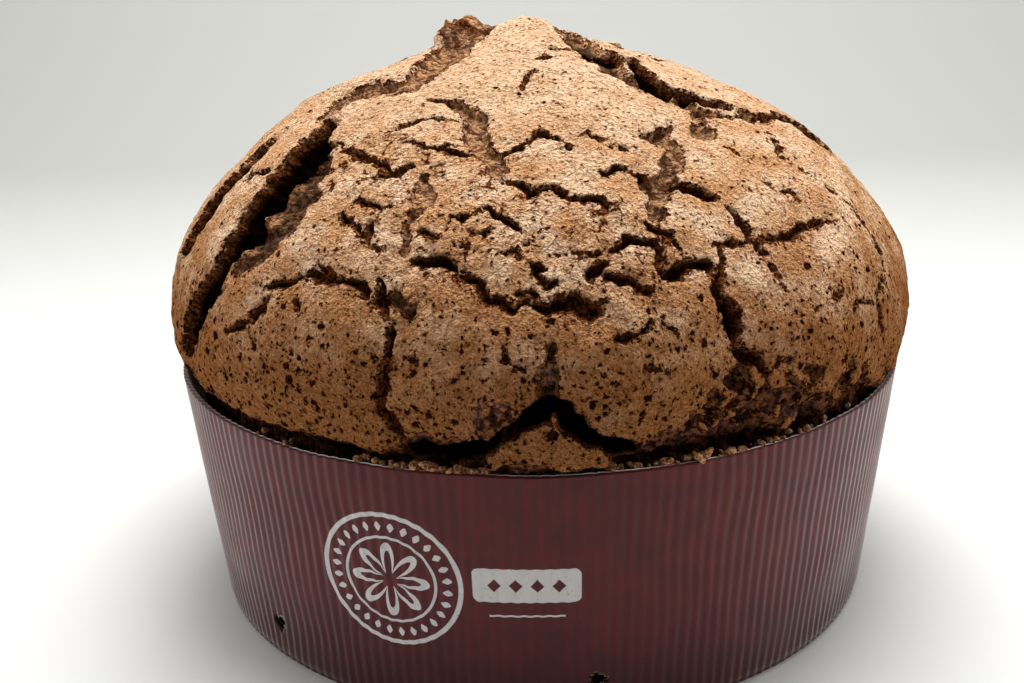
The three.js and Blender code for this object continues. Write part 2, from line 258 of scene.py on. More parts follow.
# bands of bare crumb: half their width, their depth and their paths
bareBands = [
    (6.6, 2.4, [(-78, 81), (-62, 74), (-53, 70), (-49, 66), (-45.5, 61.5)]),
    (9.0, 1.0, [(-96, 74.5), (-90, 78), (-88, 81)]),
    (4.6, 2.6, [(-44, 61.5), (-54, 60), (-62, 57), (-63, 53), (-57, 49.5)]),
    (5.2, 3.4, [(-45, 43), (-43, 38.5), (-42, 34), (-42, 30.5), (-44, 27), (-46, 23.5)]),
    (7.0, 3.4, [(66, 82.5), (46, 77.5), (39.5, 72.5), (39, 67)]),
    (6.8, 3.4, [(39, 68), (39.5, 64), (42, 60)]),
    (4.6, 3.2, [(41, 59.5), (44, 57), (48, 54.5)]),
    (3.0, 3.0, [(44, 54), (47.5, 52), (51.5, 50.5), (57, 49)]),
    (2.2, 2.6, [(58, 48.5), (60.5, 47), (63, 45.5), (67, 45)]),
    (2.4, 2.2, [(-24, 58), (-18, 55.5), (-14.5, 53), (-14, 50), (-9, 44.5), (-7, 43), (-5.5, 40.5)]),
    (1.5, 2.0, [(-21, 42), (-20, 39.5), (-18.5, 38), (-19, 35), (-20, 32.5), (-19.5, 31),
     (-18.5, 27.5)]),
    (2.2, 2.6, [(33, 49), (26.5, 47), (28.5, 46), (29, 43.5), (24, 40), (22.5, 38), (18.5, 35),
     (19, 33.5)]),
    (2.4, 2.2, [(47.5, 52.5), (41.5, 49.5), (38.5, 47), (43, 47.5)]),
    (1.6, 2.4, [(18.5, 39.5), (19, 36)]),
    (2.6, 3.0, [(1.5, 17.5), (1.5, 16), (1, 12.5), (1, 11.5)]),
    (2.4, 3.0, [(-18, 23), (-16, 22)]),
    (1.5, 2.4, [(26, 12), (26.5, 10), (25.5, 8.5)]),
    (1.7, 2.6, [(30, 10), (28.5, 7.5)]),
    (1.4, 2.4, [(32, 11.5), (33, 10), (35, 8.5)]),
    (1.3, 2.4, [(36, 10.5), (37, 9.5), (38.5, 9.5)]),
]
# narrow seams, told in the same way
seams = [
    (0.84, 2.9, [(-6.5, 44), (-5.5, 45.5), (-3.5, 46.5), (1.5, 49.5), (3, 49), (7.5, 46), (8.5, 46.5)]),
    (0.63, 2.5, [(9.5, 48), (11.5, 49.5), (18.5, 44.5)]),
    (0.74, 2.6, [(12, 42), (12.5, 40.5), (16, 41.5), (19, 39.5), (20.5, 39.5)]),
    (0.95, 3.1, [(-4.5, 40), (-3, 39.5), (-0.5, 37.5), (3, 38.5), (5, 36.5), (6.5, 36.5), (9.5, 36.5),
     (11, 36.5), (12, 34.5)]),
    (0.63, 2.2, [(-33, 48), (-27.5, 52.5), (-23, 52.5), (-18, 53)]),
    (0.53, 2, [(-28.5, 46), (-26, 47), (-22.5, 46), (-19, 46), (-16.5, 47)]),
    (0.63, 2.4, [(-19, 45.5), (-14.5, 45.5), (-12.5, 45.5)]),
    (0.95, 3.1, [(-28, 39.5), (-21.5, 42.5)]),
    (0.53, 2, [(-20, 42), (-17.5, 42.5)]),
    (0.84, 2.9, [(-13, 34), (-9, 34), (-8, 35)]),
    (0.84, 2.9, [(-7.5, 35.5), (-5, 33.5), (-3, 32.5), (-2, 31.5)]),
    (0.74, 2.6, [(-17, 31.5), (-12.5, 30.5)]),
    (0.53, 2, [(-9, 31.5), (-7.5, 31.5), (-6.5, 32)]),
    (0.53, 2, [(-12, 30), (-9.5, 30), (-8.5, 29.5)]),
    (0.53, 2, [(-5, 29), (-3, 29.5), (-2.5, 29), (-2, 28.5)]),
    (0.63, 2.4, [(-2, 30), (2, 32)]),
    (1.48, 4.5, [(-16.5, 27), (-13, 27.5), (-10, 26.5)]),
    (1.27, 3.7, [(-10.5, 26.5), (-10, 26), (-8.5, 26), (-7.5, 25.5), (-7, 24.5), (-6.5, 23.5), (-4, 22.5),
     (-3, 22), (-2.5, 22.5)]),
    (0.8, 3, [(-10.1, 26.7), (-9, 25.9), (-7.9, 25.7)]),
    (0.7, 2.6, [(-3.1, 22.1), (-1.8, 22.5), (-0.6, 22.4)]),
    (0.8, 3, [(2.9, 22.7), (4.4, 22.6), (5.6, 21.7)]),
    (0.6, 2.4, [(6.9, 22.6), (8.7, 22.8)]),
    (0.6, 2.4, [(-0.4, 27.8), (0, 26.1), (0.5, 24.9)]),
    (0.95, 3, [(-3, 23.5), (-1, 24), (0, 23.5)]),
    (0.95, 3, [(-1, 28), (-0.5, 27.5), (0.5, 27), (0, 26), (1, 24.5), (2.5, 25)]),
    (1.58, 4, [(-1, 22.5), (1.5, 22), (3.5, 23), (4, 22.5)]),
    (2.53, 3.8, [(4.5, 23), (6.5, 21)]),
    (2.01, 3.6, [(7, 26), (9, 27)]),
    (1.06, 3.3, [(9, 25.5), (11, 25), (13.5, 23.5), (14.5, 23.5), (15.5, 23.5)]),
    (1.06, 3.2, [(3, 28.5), (3.5, 28.5)]),
    (0.74, 2.6, [(5, 29), (7.5, 28.5), (10, 29)]),
    (1.06, 3.3, [(10, 29), (12, 30), (13, 30.5), (15.5, 29.5), (16.5, 29), (17, 28), (17, 27),
     (16.5, 25.5)]),
    (0.95, 3.1, [(17, 32.5), (17.5, 31), (19.5, 30), (20.5, 28)]),
    (1.48, 3.6, [(19, 32.5), (20, 33)]),
    (1.58, 4.5, [(16.5, 25.5), (17, 25), (18.5, 25), (19.5, 25.5), (20.5, 26), (22, 26), (23.5, 26),
     (24.5, 24)]),
    (1.16, 3.5, [(26.5, 27.5), (26, 26), (24, 22)]),
    (2.22, 6.3, [(24, 21.5), (25.5, 19.5), (25.5, 18), (25, 15.5)]),
    (1.48, 4.1, [(25, 15), (26, 14.5), (28.5, 13.5), (29.5, 12.5), (30, 11.5), (30, 10.5)]),
    (0.74, 2.6, [(25.5, 28), (32.5, 28)]),
    (1.58, 5, [(23, 37.5), (25, 37), (31, 34.5)]),
    (1.27, 3.7, [(31, 34.5), (33, 29.5), (33, 28.5)]),
    (1.06, 3, [(33, 28.5), (34, 26), (35, 25.5)]),
    (1.06, 2.2, [(35, 28), (37.5, 27.5), (48, 28)]),
    (0.74, 2, [(48, 28), (53, 27), (53, 26)]),
    (0.84, 2.9, [(33.5, 25), (34.5, 24), (34.5, 22), (35, 21.5)]),
    (0.95, 3.1, [(59.5, 23.5), (59.5, 20.5), (58.5, 19), (53, 16)]),
    (0.84, 2.9, [(53, 16), (54.5, 10.5)]),
    (0.48, 1.6, [(41.5, 21), (41, 19.5), (42, 19), (44.5, 19)]),
    (0.63, 2, [(38, 19), (38.5, 18), (39.5, 18)]),
    (0.53, 1.8, [(46, 17), (51.5, 16)]),
    (0.84, 2.6, [(59, 43.5), (51.5, 38.5), (53, 37.5)]),
    (0.53, 1.8, [(53, 37.5), (55, 32.5)]),
    (0.37, 1.2, [(55, 32.5), (58.5, 27.5), (59.5, 24)]),
    (0.42, 1.5, [(40.5, 43.5), (42.5, 39.5), (42.5, 38)]),
    (0.53, 1.8, [(41.5, 37.5), (43, 35)]),
    (0.63, 2, [(44, 34), (45.5, 33.5), (46, 31.5)]),
    (0.63, 2.2, [(9.5, 18), (12.5, 18.5), (14, 20)]),
    (0.74, 2.4, [(15.5, 19.5), (17, 18)]),
    (0.63, 2.2, [(12.5, 14.5), (14.5, 14), (15.5, 13.5)]),
    (0.84, 2.6, [(-4, 18), (-4, 16), (-2, 15)]),
    (0.63, 2.2, [(-16, 16), (-14, 16)]),
    (1.06, 3.3, [(-18, 20), (-18.5, 19), (-18.5, 16), (-19, 14), (-19.5, 11)]),
    (1.16, 3.5, [(-19.5, 10.5), (-20, 9.5), (-17.5, 7.5), (-16.5, 5)]),
    (1.06, 3.3, [(-21, 24.5), (-19, 20.5)]),
    (1.06, 3.3, [(-39.5, 21.5), (-38, 22), (-36.5, 23), (-35, 23), (-34, 24), (-32, 25), (-30.5, 24.5),
     (-27, 24.5)]),
    (1.06, 3.3, [(-27, 24.5), (-23, 23.5), (-20.5, 22)]),
    (0.95, 3, [(-37.5, 21), (-40.5, 17.5), (-45, 15)]),
    (0.63, 2, [(-33, 21.5), (-32, 19.5)]),
    (0.74, 2.4, [(-31, 26), (-30, 25.5), (-26.5, 25)]),
    (0.74, 2.4, [(-36, 37.5), (-36, 36.5), (-37.5, 36.5)]),
    (1.06, 3.3, [(-40, 34), (-38, 34), (-37.5, 35)]),
    (0.74, 2.2, [(-29.5, 35), (-25, 34.5), (-23, 35)]),
    (1.37, 2.7, [(-31, 32.5), (-27.5, 31.5), (-26, 30.5)]),
    (1.27, 3, [(-26, 33), (-24.5, 29.5)]),
    (0.84, 2.6, [(-23.5, 29), (-22, 29), (-21, 29)]),
    (1.06, 3, [(-42.5, 45), (-37, 43), (-31, 42.5), (-27, 40)]),
    (0.84, 2.6, [(-71.5, 35), (-57.5, 34.5)]),
    (0.84, 2.9, [(74.5, 43.5), (74, 38.5)]),
    (0.53, 2.2, [(-25, 58.5), (-33.5, 57)]),
    (0.95, 2.8, [(12, 76.5), (15.5, 74.5), (23, 75)]),
    (0.84, 2.4, [(2, 71.5), (12.5, 72)]),
    (0.74, 2.2, [(1.5, 67.5), (-1.5, 66), (-3, 62.5)]),
]
# where the crust ends above the rim: azimuth and elevation
crustHem = [
    (-90, 8.0), (-76, 8.0), (-66, 6.4), (-59, 6.4), (-53.5, 5.1), (-44, 4.6), (-39.5, 4.1), (-33, 4.3),
    (-29.5, 4.5), (-27, 3.3), (-20, 2.8), (-17, 6.4), (-13.5, 6.2), (-10, 7.0), (-7, 5.6), (-6.4, 2.3),
    (8, 2.3), (9.6, 5.6), (14.5, 6.0), (19.7, 7.0), (22.7, 9.1), (26, 10.9), (31.5, 10.6), (34.5, 9.5),
    (37, 8.3), (40, 6.5), (42.7, 7.4), (45.5, 8.5), (49, 7.1), (53.5, 4.0), (64, 3.4), (76, 3.6), (90, 5.0),
]
# islands of crust below that edge: azimuth, elevation and radius
islands = [
    (27.8, 9.6, 1.7), (29.5, 8.6, 1.2), (24.6, 7.6, 1.4), (34.8, 10.2, 3.4), (37.6, 8.2, 2.4),
    (43.2, 5.4, 1.6), (31.2, 6.4, 1.3), (33.8, 4.2, 1.5), (12.1, 4.9, 1.2), (20.6, 6.2, 1.1), (41, 7.8, 1.6),
]
# where the crust is finely crackled, front and back: azimuth, elevation and reach
crackledPlaces = [(-12, 36, 30), (-30, 43, 16), (12, 30, 18), (168, 36, 30), (148, 42, 20)]
# round lumps of crumb: azimuth, elevation, radius and height
lumps = [(-16.5, 22.6, 2.4, 1.2), (-5.2, 9.0, 5.4, 3.0), (1, 14.6, 2.8, 1.4)]
# the torn ridges at the very top: half their width, how far they stand above the crust, and their paths
ridges = [
    (8.0, 6.8, [(-91, 76), (-89, 79.5)]),
    (9.0, 1.2, [(-89, 80), (-80, 85), (30, 88)]),
]
# places where the dome stands out from its smooth shape, or in: azimuth, elevation, reach and height
bulges = [(-88, 52, 22, 2.8), (80, 40, 22, 2.0), (-88, 8, 20, -2.4), (88, 8, 22, 1.6)]


def smoothOutline():
    # radius and height of the smooth cake, from its peak down round the foot to the middle of its underside
    s = sizes
    rise = np.sin(np.linspace(math.pi / 2, 0, 140))
    radius = s["waistRadius"] * np.clip(1 - rise ** s["domeFullness"], 0, 1) ** (1 / s["domeSpread"])
    rows = np.column_stack([radius, s["waistHeight"] + s["domeHeight"] * rise]).tolist()
    rows += [(s["waistRadius"] - 0.5, 74.2), (104.4, 70.6), (103.1, 68.5), (102.7, 66)]
    rows += [(101.2, 45), (99.1, 22), (97.4, 3.1), (95.9, 1.6), (0, 1.6)]
    return np.array(rows)


def closelySampled(rows):
    # the same outline with a point at least every 2 mm
    made = [rows[:1]]
    for start, end in zip(rows[:-1], rows[1:]):
        count = max(1, math.ceil(float(np.linalg.norm(end - start)) / 2))
        made.append(start + (end - start) * np.linspace(0, 1, count + 1)[1:, None])
    return np.concatenate(made)


outline = smoothOutline()
sampled = closelySampled(outline)[::-1]
outlineTurn = np.arctan2(sampled[:, 1] - sizes["middleHeight"], sampled[:, 0])
outlineReach = np.hypot(sampled[:, 1] - sizes["middleHeight"], sampled[:, 0])
middle = np.array([0, 0, sizes["middleHeight"]])


def ontoCake(points):
    # moves points straight out from the middle, or in, onto the smooth cake
    arm = points - middle
    turn = np.arctan2(arm[:, 2], np.hypot(arm[:, 0], arm[:, 1]))
    reach = np.interp(turn, outlineTurn, outlineReach)
    return middle + arm * (reach / np.linalg.norm(arm, axis=1))[:, None]


def cakePlace(azimuth, elevation):
    a, e = np.radians(azimuth), np.radians(elevation)
    arm = np.column_stack([np.cos(e) * np.sin(a), -np.cos(e) * np.cos(a), np.sin(e)])
    return ontoCake(middle + arm)


def laidPath(path, step=2.5):
    # a path on the smooth cake with points every few millimetres
    corners = cakePlace(*np.array(path, float).T)
    laid = [corners[:1]]
    for start, end in zip(corners[:-1], corners[1:]):
        count = max(1, round(float(np.linalg.norm(end - start)) / step))
        share = np.linspace(0, 1, count + 1)[1:, None]
        laid.append(ontoCake(start + (end - start) * share))
    return np.concatenate(laid)


def turnedToTheBack(opening):
    # the back has split in the same way as the front, turned half round and warped
    half, deep, lift, path = opening
    warped = []
    for azimuth, elevation in path:
        swing = 7 * math.sin(elevation * 0.11)
        nod = 2.5 * math.sin(azimuth * 0.09) * math.cos(math.radians(elevation))
        warped.append((180 + azimuth * 0.94 + swing, elevation + nod))
    return half, deep, lift, warped


def crackled(points):
    # 1 where the crust is finely crackled, and near 0 elsewhere
    share = np.zeros(len(points))
    for azimuth, elevation, reach in crackledPlaces:
        away = np.linalg.norm(points - cakePlace([azimuth], [elevation]), axis=1)
        share = np.maximum(share, 1 - smoothStep(0.5, 1.1, away / reach))
    return share


def smallCracks(count):
    # short wandering cracks at the sides and the back, most of them where the crust is finely crackled
    draw = np.random.default_rng(cakeSetup["seed"])
    made = []
    while len(made) < count:
        azimuth = draw.uniform(-180, 180)
        elevation = math.degrees(math.asin(draw.uniform(0.12, 0.99)))
        frequent = 0.3 + crackled(cakePlace([azimuth], [elevation]))[0]
        if abs(azimuth) < cakeSetup["tracedTo"] or draw.uniform() > frequent:
            continue
        heading = draw.normal(0, 0.7) + (math.pi if draw.uniform() < 0.5 else 0)
        path = [(azimuth, elevation)]
        for _ in range(draw.integers(2, 6)):
            heading += draw.normal(0, 0.55)
            length = draw.uniform(1.2, 2.8)
            azimuth += length * math.cos(heading) / math.cos(math.radians(min(elevation, 80)))
            elevation += length * math.sin(heading)
            path.append((azimuth, min(elevation, 89)))
        made.append((draw.uniform(0.35, 0.95), draw.uniform(1.2, 2.6), 0, path))
    return made


def fromPath(points, laid):
    # distance of points to a path, how far along it their nearest place is, and on which side of it they lie
    distance = np.full(len(points), np.inf)
    along = np.zeros(len(points))
    side = np.zeros(len(points))
    gone = 0.0
    for start, end in zip(laid[:-1], laid[1:]):
        arm = end - start
        length = float(np.linalg.norm(arm)) + 1e-9
        share = np.clip((points - start) @ arm / length**2, 0, 1)
        off = points - (start + share[:, None] * arm)
        away = np.linalg.norm(off, axis=1)
        nearer = away < distance
        distance[nearer] = away[nearer]
        along[nearer] = gone + share[nearer] * length
        turned = np.einsum("ij,ij->i", np.cross(arm, off), points - middle)
        side[nearer] = np.sign(turned)[nearer]
        gone += length
    return distance, along, side, gone


class Opening:
    def __init__(self, half, deep, lift, path, seed, bare):
        self.half, self.deep, self.lift, self.bare, self.seed = half, deep, lift, bare, seed
        self.laid = laidPath(path)
        self.centre = (self.laid.min(0) + self.laid.max(0)) / 2
        self.radius = float(np.linalg.norm(self.laid - self.centre, axis=1).max())

    def near(self, points, reach):
        return np.nonzero(np.linalg.norm(points - self.centre, axis=1) < self.radius + reach)[0]

    def measured(self, points):
        # distance beyond the edge of the opening, its half width there, and the side
        distance, along, side, total = fromPath(points, self.laid)
        if self.bare:
            distance = distance + 1.5 * roughness(points, 4.5, 2, 90)
        ends = np.minimum(along, total - along) / max(3.0, 2.5 * self.half)
        half = self.half * (0.55 + 0.45 * smoothStep(0, 1, ends))
        half = half + min(0.3 * self.half, 0.7) * blobs(points, 5.0, self.seed)
        beyond = distance - half + crumbly(points) * min(0.7, self.half / 2.6)
        return beyond, half, side


def allOpenings():
    bands = [(half, deep, 0, path) for half, deep, path in bareBands]
    shallow = [(half, deep * cakeSetup["seamDepth"], 0, path) for half, deep, path in seams]
    front = [(o, False) for o in splits] + [(o, True) for o in bands] + [(o, False) for o in shallow]
    both = front + [(turnedToTheBack(o), bare) for o, bare in front]
    both += [(o, False) for o in smallCracks(cakeSetup["smallCracks"])]
    return [Opening(*o, seed=i, bare=bare) for i, (o, bare) in enumerate(both)]


openings = allOpenings()
ridgeLines = [(half, high, laidPath(path)) for half, high, path in ridges]


def angles(points):
    arm = points - middle
    azimuth = np.degrees(np.arctan2(arm[:, 0], -arm[:, 1]))
    elevation = np.degrees(np.arctan2(arm[:, 2], np.hypot(arm[:, 0], arm[:, 1])))
    return azimuth, elevation


def crumbly(points):
    # what makes the edges of the crust uneven, in millimetres
    return 0.7 * blobs(points, 3.1, 97) + 0.45 * blobs(points, 1.7, 98)


def beyondHem(points):
    # how far above the crust's lower edge the points lie
    azimuth, elevation = angles(points)
    turned = np.where(np.abs(azimuth) > 90, (np.abs(azimuth) - 180) * np.sign(azimuth) / 0.94, azimuth)
    hem = np.interp(turned, *np.array(crustHem).T)
    tattered = 1.2 + 5.4 * smoothStep(12, 22, turned) * smoothStep(66, 52, turned)
    beyond = (elevation - hem) * math.radians(1) * sizes["waistRadius"]
    beyond = beyond + tattered * roughness(points, 5.0, 4, 95)
    for islandAzimuth, islandElevation, radius in islands:
        away = np.linalg.norm(points - cakePlace([islandAzimuth], [islandElevation]), axis=1)
        beyond = np.maximum(beyond, radius - away + 1.1 * blobs(points, 2.3, 96))
    return beyond


def leaning(points):
    # how far the peak's lean moves points to the right
    return sizes["lean"] * smoothStep(90, 158, points[:, 2]) ** 1.5


def wandered(points):
    # points pushed about a little, so that straight edges come out ragged
    pushed = points.copy()
    pushed[:, 0] += leaning(points)
    for axis in range(3):
        seed = 700 + 10 * axis
        pushed[:, axis] += cakeSetup["ragged"] * blobs(points, 6.5, seed)
        pushed[:, axis] += cakeSetup["ragged"] * 0.75 * blobs(points, 2.6, seed + 1)
        pushed[:, axis] += cakeSetup["ragged"] * 0.5 * blobs(points, 1.2, seed + 2)
    return pushed


def crustEdge(points):
    # how far inside the crust each point lies; negative on bare crumb
    pushed = wandered(points)
    edge = beyondHem(pushed)
    for opening in openings:
        near = opening.near(pushed, opening.half + 6)
        if len(near):
            beyond, half, side = opening.measured(pushed[near])
            edge[near] = np.minimum(edge[near], beyond)
    return edge


def relief(points):
    # how far the surface lies outside the smooth cake, the crust's edge and the depth below the crust
    pushed = wandered(points)
    hem = beyondHem(pushed)
    edge = hem.copy()
    plateEdge = hem.copy()
    sunk = np.zeros(len(points))
    narrow = np.zeros(len(points))
    lifted = np.zeros(len(points))
    crust = cakeSetup["crust"]
    for opening in openings:
        near = opening.near(pushed, 5 * opening.half + 4)
        if not len(near):
            continue
        beyond, half, side = opening.measured(pushed[near])
        edge[near] = np.minimum(edge[near], beyond)
        if opening.half > 1:
            plateEdge[near] = np.minimum(plateEdge[near], beyond)
        wall = 1 - smoothStep(-0.3, 0.2, beyond)
        bottom = smoothStep(0, 0.6, -beyond / half)
        first = min(crust, opening.deep * 0.6)
        sunk[near] = np.maximum(sunk[near], wall * (first + (opening.deep - first) * bottom))
        # splits and seams are marked, so that their voids are painted with shade rather than crumb
        if not opening.bare:
            narrow[near] = np.maximum(narrow[near], 1 - smoothStep(-0.2, 0.9, beyond))
        if opening.lift:
            onLip = side == np.sign(opening.lift)
            rise = abs(opening.lift) * (1 - smoothStep(0, 4 * opening.half, beyond))
            lifted[near] = np.maximum(lifted[near], np.where(onLip, rise, 0))
    under = (1 - smoothStep(-0.6, 0.3, hem)) * (crust + 1.6 * smoothStep(0, 5, -hem))
    sunk = np.maximum(sunk, under)
    # slow swells of the whole dome, and plates that are higher in their middle than at their edges
    broad = 0.9 * np.sin(points[:, 0] * 0.045 + 1.3) * np.cos(points[:, 1] * 0.05 - 0.4)
    broad += 0.6 * np.sin(points[:, 0] * 0.09 - points[:, 2] * 0.07 + points[:, 1] * 0.06)
    pillow = 0.7 * (smoothStep(0, 7, plateEdge) - 0.5)
    height = broad + pillow + lifted - sunk
    onCrust = smoothStep(-0.4, 0.4, edge)
    grain = blobs(points, 8, 31) + blobs(points, 3.4, 32) + blobs(points, 1.7, 33)
    height += onCrust * 0.25 * grain
    crumb = roughness(points, 4.6, 4, 51)
    torn = smoothStep(-0.5, -3, hem)
    height += (1 - onCrust) * np.minimum(1.3 + 1.4 * torn, 0.5 + sunk * 0.5) * crumb
    raised = np.zeros(len(points))
    for half, high, laid in ridgeLines:
        distance, along, side, total = fromPath(pushed, laid)
        raised = np.maximum(raised, high * (1 - smoothStep(0.1, 1, distance / half)))
    height += raised * (0.9 + 0.45 * roughness(points, 4.5, 3, 61))
    for lumpAzimuth, lumpElevation, radius, high in lumps:
        away = np.linalg.norm(points - cakePlace([lumpAzimuth], [lumpElevation]), axis=1)
        dome = np.sqrt(np.clip(1 - (away / radius) ** 2, 0, 1))
        height += high * dome
        edge = np.where(away < radius, np.minimum(edge, -0.6), edge)
        sunk = np.where(away < radius, 1.2, sunk)
        narrow = np.where(away < radius, 0, narrow)
    for bulgeAzimuth, bulgeElevation, reach, high in bulges:
        away = np.linalg.norm(points - cakePlace([bulgeAzimuth], [bulgeElevation]), axis=1)
        height += high * (1 - smoothStep(0, 1.5, away / reach))
    return height, edge, sunk, narrow


def ringMesh():
    # rings of points down the smooth cake, as far apart as they are along each ring
    rings = []
    points = []

    def addRing(radius, height, count, turn):
        azimuth = (np.arange(count) + turn) / count * 2 * math.pi
        rings.append(np.arange(count) + len(points))
        ring = [radius * np.sin(azimuth), -radius * np.cos(azimuth), np.full(count, height)]
        points.extend(np.column_stack(ring))

    rim = int(np.argmax(outline[:, 1] <= 68.5))
    dome = outline[: rim + 1]
    gone = np.concatenate([[0], np.cumsum(np.linalg.norm(np.diff(dome, axis=0), axis=1))])
    rows = round(gone[-1] / cakeSetup["startEdge"])
    addRing(0, dome[0, 1], 1, 0)
    for row in range(1, rows + 1):
        radius = float(np.interp(gone[-1] * row / rows, gone, dome[:, 0]))
        height = float(np.interp(gone[-1] * row / rows, gone, dome[:, 1]))
        addRing(radius, height, max(6, round(2 * math.pi * radius / cakeSetup["startEdge"])), (row % 2) / 2)
    for radius, height in outline[rim + 1 : -1]:
        addRing(radius, height, 72, 0)
    addRing(0, outline[-1, 1], 1, 0)
    triangles = []
    for upper, lower in zip(rings[:-1], rings[1:]):
        triangles += stitched(upper, lower)
    return np.array(points), np.array(triangles)


def stitched(upper, lower):
    # triangles between two closed rings that may have different numbers of points
    triangles = []
    i = j = 0
    upperSteps = len(upper) if len(upper) > 1 else 0
    lowerSteps = len(lower) if len(lower) > 1 else 0
    while i < upperSteps or j < lowerSteps:
        takeUpper = j >= lowerSteps or (i < upperSteps and (i + 1) / upperSteps <= (j + 1) / lowerSteps)
        a, b = upper[i % len(upper)], lower[j % len(lower)]
        if takeUpper:
            triangles.append((a, b, upper[(i + 1) % len(upper)]))
            i += 1
        else:
            triangles.append((a, b, lower[(j + 1) % len(lower)]))
            j += 1
    return triangles


def refined(points, triangles, wanted):
    # halves every edge that is longer than it should be there, and splits the triangles to match
    sides = np.concatenate([triangles[:, [0, 1]], triangles[:, [1, 2]], triangles[:, [2, 0]]])
    edges, which = np.unique(np.sort(sides, axis=1), axis=0, return_inverse=True)
    ends = points[edges]
    halves = ends.mean(axis=1)
    split = np.linalg.norm(ends[:, 0] - ends[:, 1], axis=1) > wanted(halves)
    number = np.where(split, len(points) + np.cumsum(split) - 1, -1)
    mids = number[which.reshape(-1)].reshape(3, -1).T
    count = (mids >= 0).sum(axis=1)
    turn = np.where(count == 1, np.argmax(mids >= 0, axis=1), 0)
    turn = np.where(count == 2, (np.argmax(mids < 0, axis=1) + 1) % 3, turn)
    order = (np.arange(3) + turn[:, None]) % 3
    a, b, c = np.take_along_axis(triangles, order, axis=1).T
    ab, bc, ca = np.take_along_axis(mids, order, axis=1).T
    made = []
    for cuts, corners in [
        (0, [(a, b, c)]),
        (1, [(a, ab, c), (ab, b, c)]),
        (2, [(ab, b, bc), (a, ab, bc), (a, bc, c)]),
        (3, [(a, ab, ca), (ab, b, bc), (ca, bc, c), (ab, bc, ca)]),
    ]:
        chosen = count == cuts
        for corner in corners:
            made.append(np.column_stack([part[chosen] for part in corner]))
    return np.concatenate([points, ontoCake(halves[split])]), np.concatenate(made)


def wantedEdge(points):
    edge = crustEdge(points)
    coarse, fine = cakeSetup["coarseEdge"], cakeSetup["fineEdge"]
    wanted = np.clip(fine + 0.8 * (np.abs(edge + 0.1) - 0.8), fine, coarse)
    wanted = np.where(edge < -1, np.minimum(wanted, 1.5), wanted)
    wanted = np.where(points[:, 2] < 62, 50.0, wanted)
    for hole in skewerPlaces():
        wanted = np.where(np.linalg.norm(points - hole, axis=1) < 6, 1.5, wanted)
    return wanted


def wallRadius(height):
    # outer radius of the case at a height
    return sizes["footRadius"] + (sizes["rimRadius"] - sizes["footRadius"]) * height / sizes["caseHeight"]


def skewerHeadings():
    # the azimuths where the two skewers come out, at the front and the back
    return [skewer["heading"] + end + side * skewer["apart"] for end in (0, 180) for side in (-1, 1)]


def skewerPlaces():
    radius = wallRadius(skewer["height"])
    places = []
    for heading in skewerHeadings():
        at = math.radians(heading)
        places.append(np.array([radius * math.sin(at), -radius * math.cos(at), skewer["height"]]))
    return places


def makeCake():
    points, triangles = ringMesh()
    for _ in range(cakeSetup["halvings"]):
        points, triangles = refined(points, triangles, wantedEdge)
    height, edge, sunk, narrow = relief(points)
    arm = points - middle
    azimuth, elevation = angles(points)
    fade = smoothStep(-3.0, 1.5, elevation)
    leftGap = 2.6 * smoothStep(-86, -70, azimuth) * smoothStep(-12, -22, azimuth)
    rightGap = 2.2 * smoothStep(8, 14, azimuth) * smoothStep(46, 34, azimuth)
    gap = (leftGap + rightGap) * smoothStep(-5, 0, elevation)  # the cake stands back from the rim there
    reach = np.linalg.norm(arm, axis=1)
    reach = reach + height * fade - gap * smoothStep(5, 2, elevation)
    for hole in skewerPlaces():
        reach = reach - 6 * smoothStep(3.6, 1.6, np.linalg.norm(points - hole, axis=1))
    shaped = middle + arm * (reach / np.linalg.norm(arm, axis=1))[:, None]
    shaped[:, 0] += leaning(shaped)
    cake = meshPiece("cake_body", shaped, triangles)
    told = {"crustEdge": edge, "sunk": sunk, "narrow": narrow, "crackle": crackled(points)}
    for name, values in told.items():
        layer = cake.data.attributes.new(name, "FLOAT", "POINT")
        layer.data.foreach_set("value", values.astype(np.float32))
    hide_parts("cake")
    print("cake:", len(points), "points,", len(triangles), "triangles")
    return cake


crustLook = {
    "pale": colour(229, 194, 159),
    "tan": colour(202, 149, 102),
    "low": colour(150, 93, 46),
    # toasted brown, used for the crust's own specks and also as painted shade in hollows, along the lips of
    # voids and in seams
    "toastedAndShade": colour(122, 68, 32),
    "crumb": colour(192, 143, 101),
    "crumbDark": colour(112, 74, 47),
    "chocolate": colour(134, 83, 53),
    "chocolateDark": colour(48, 25, 14),
    # painted sheen of the moist crumb
    "paintedSheen": colour(116, 88, 84),
    # pore and deep are painted shade: the dark inside pores and narrow seams, and the near black of deep
    # voids
    "pore": colour(58, 28, 14),
    "deep": colour(18, 7, 4),
}


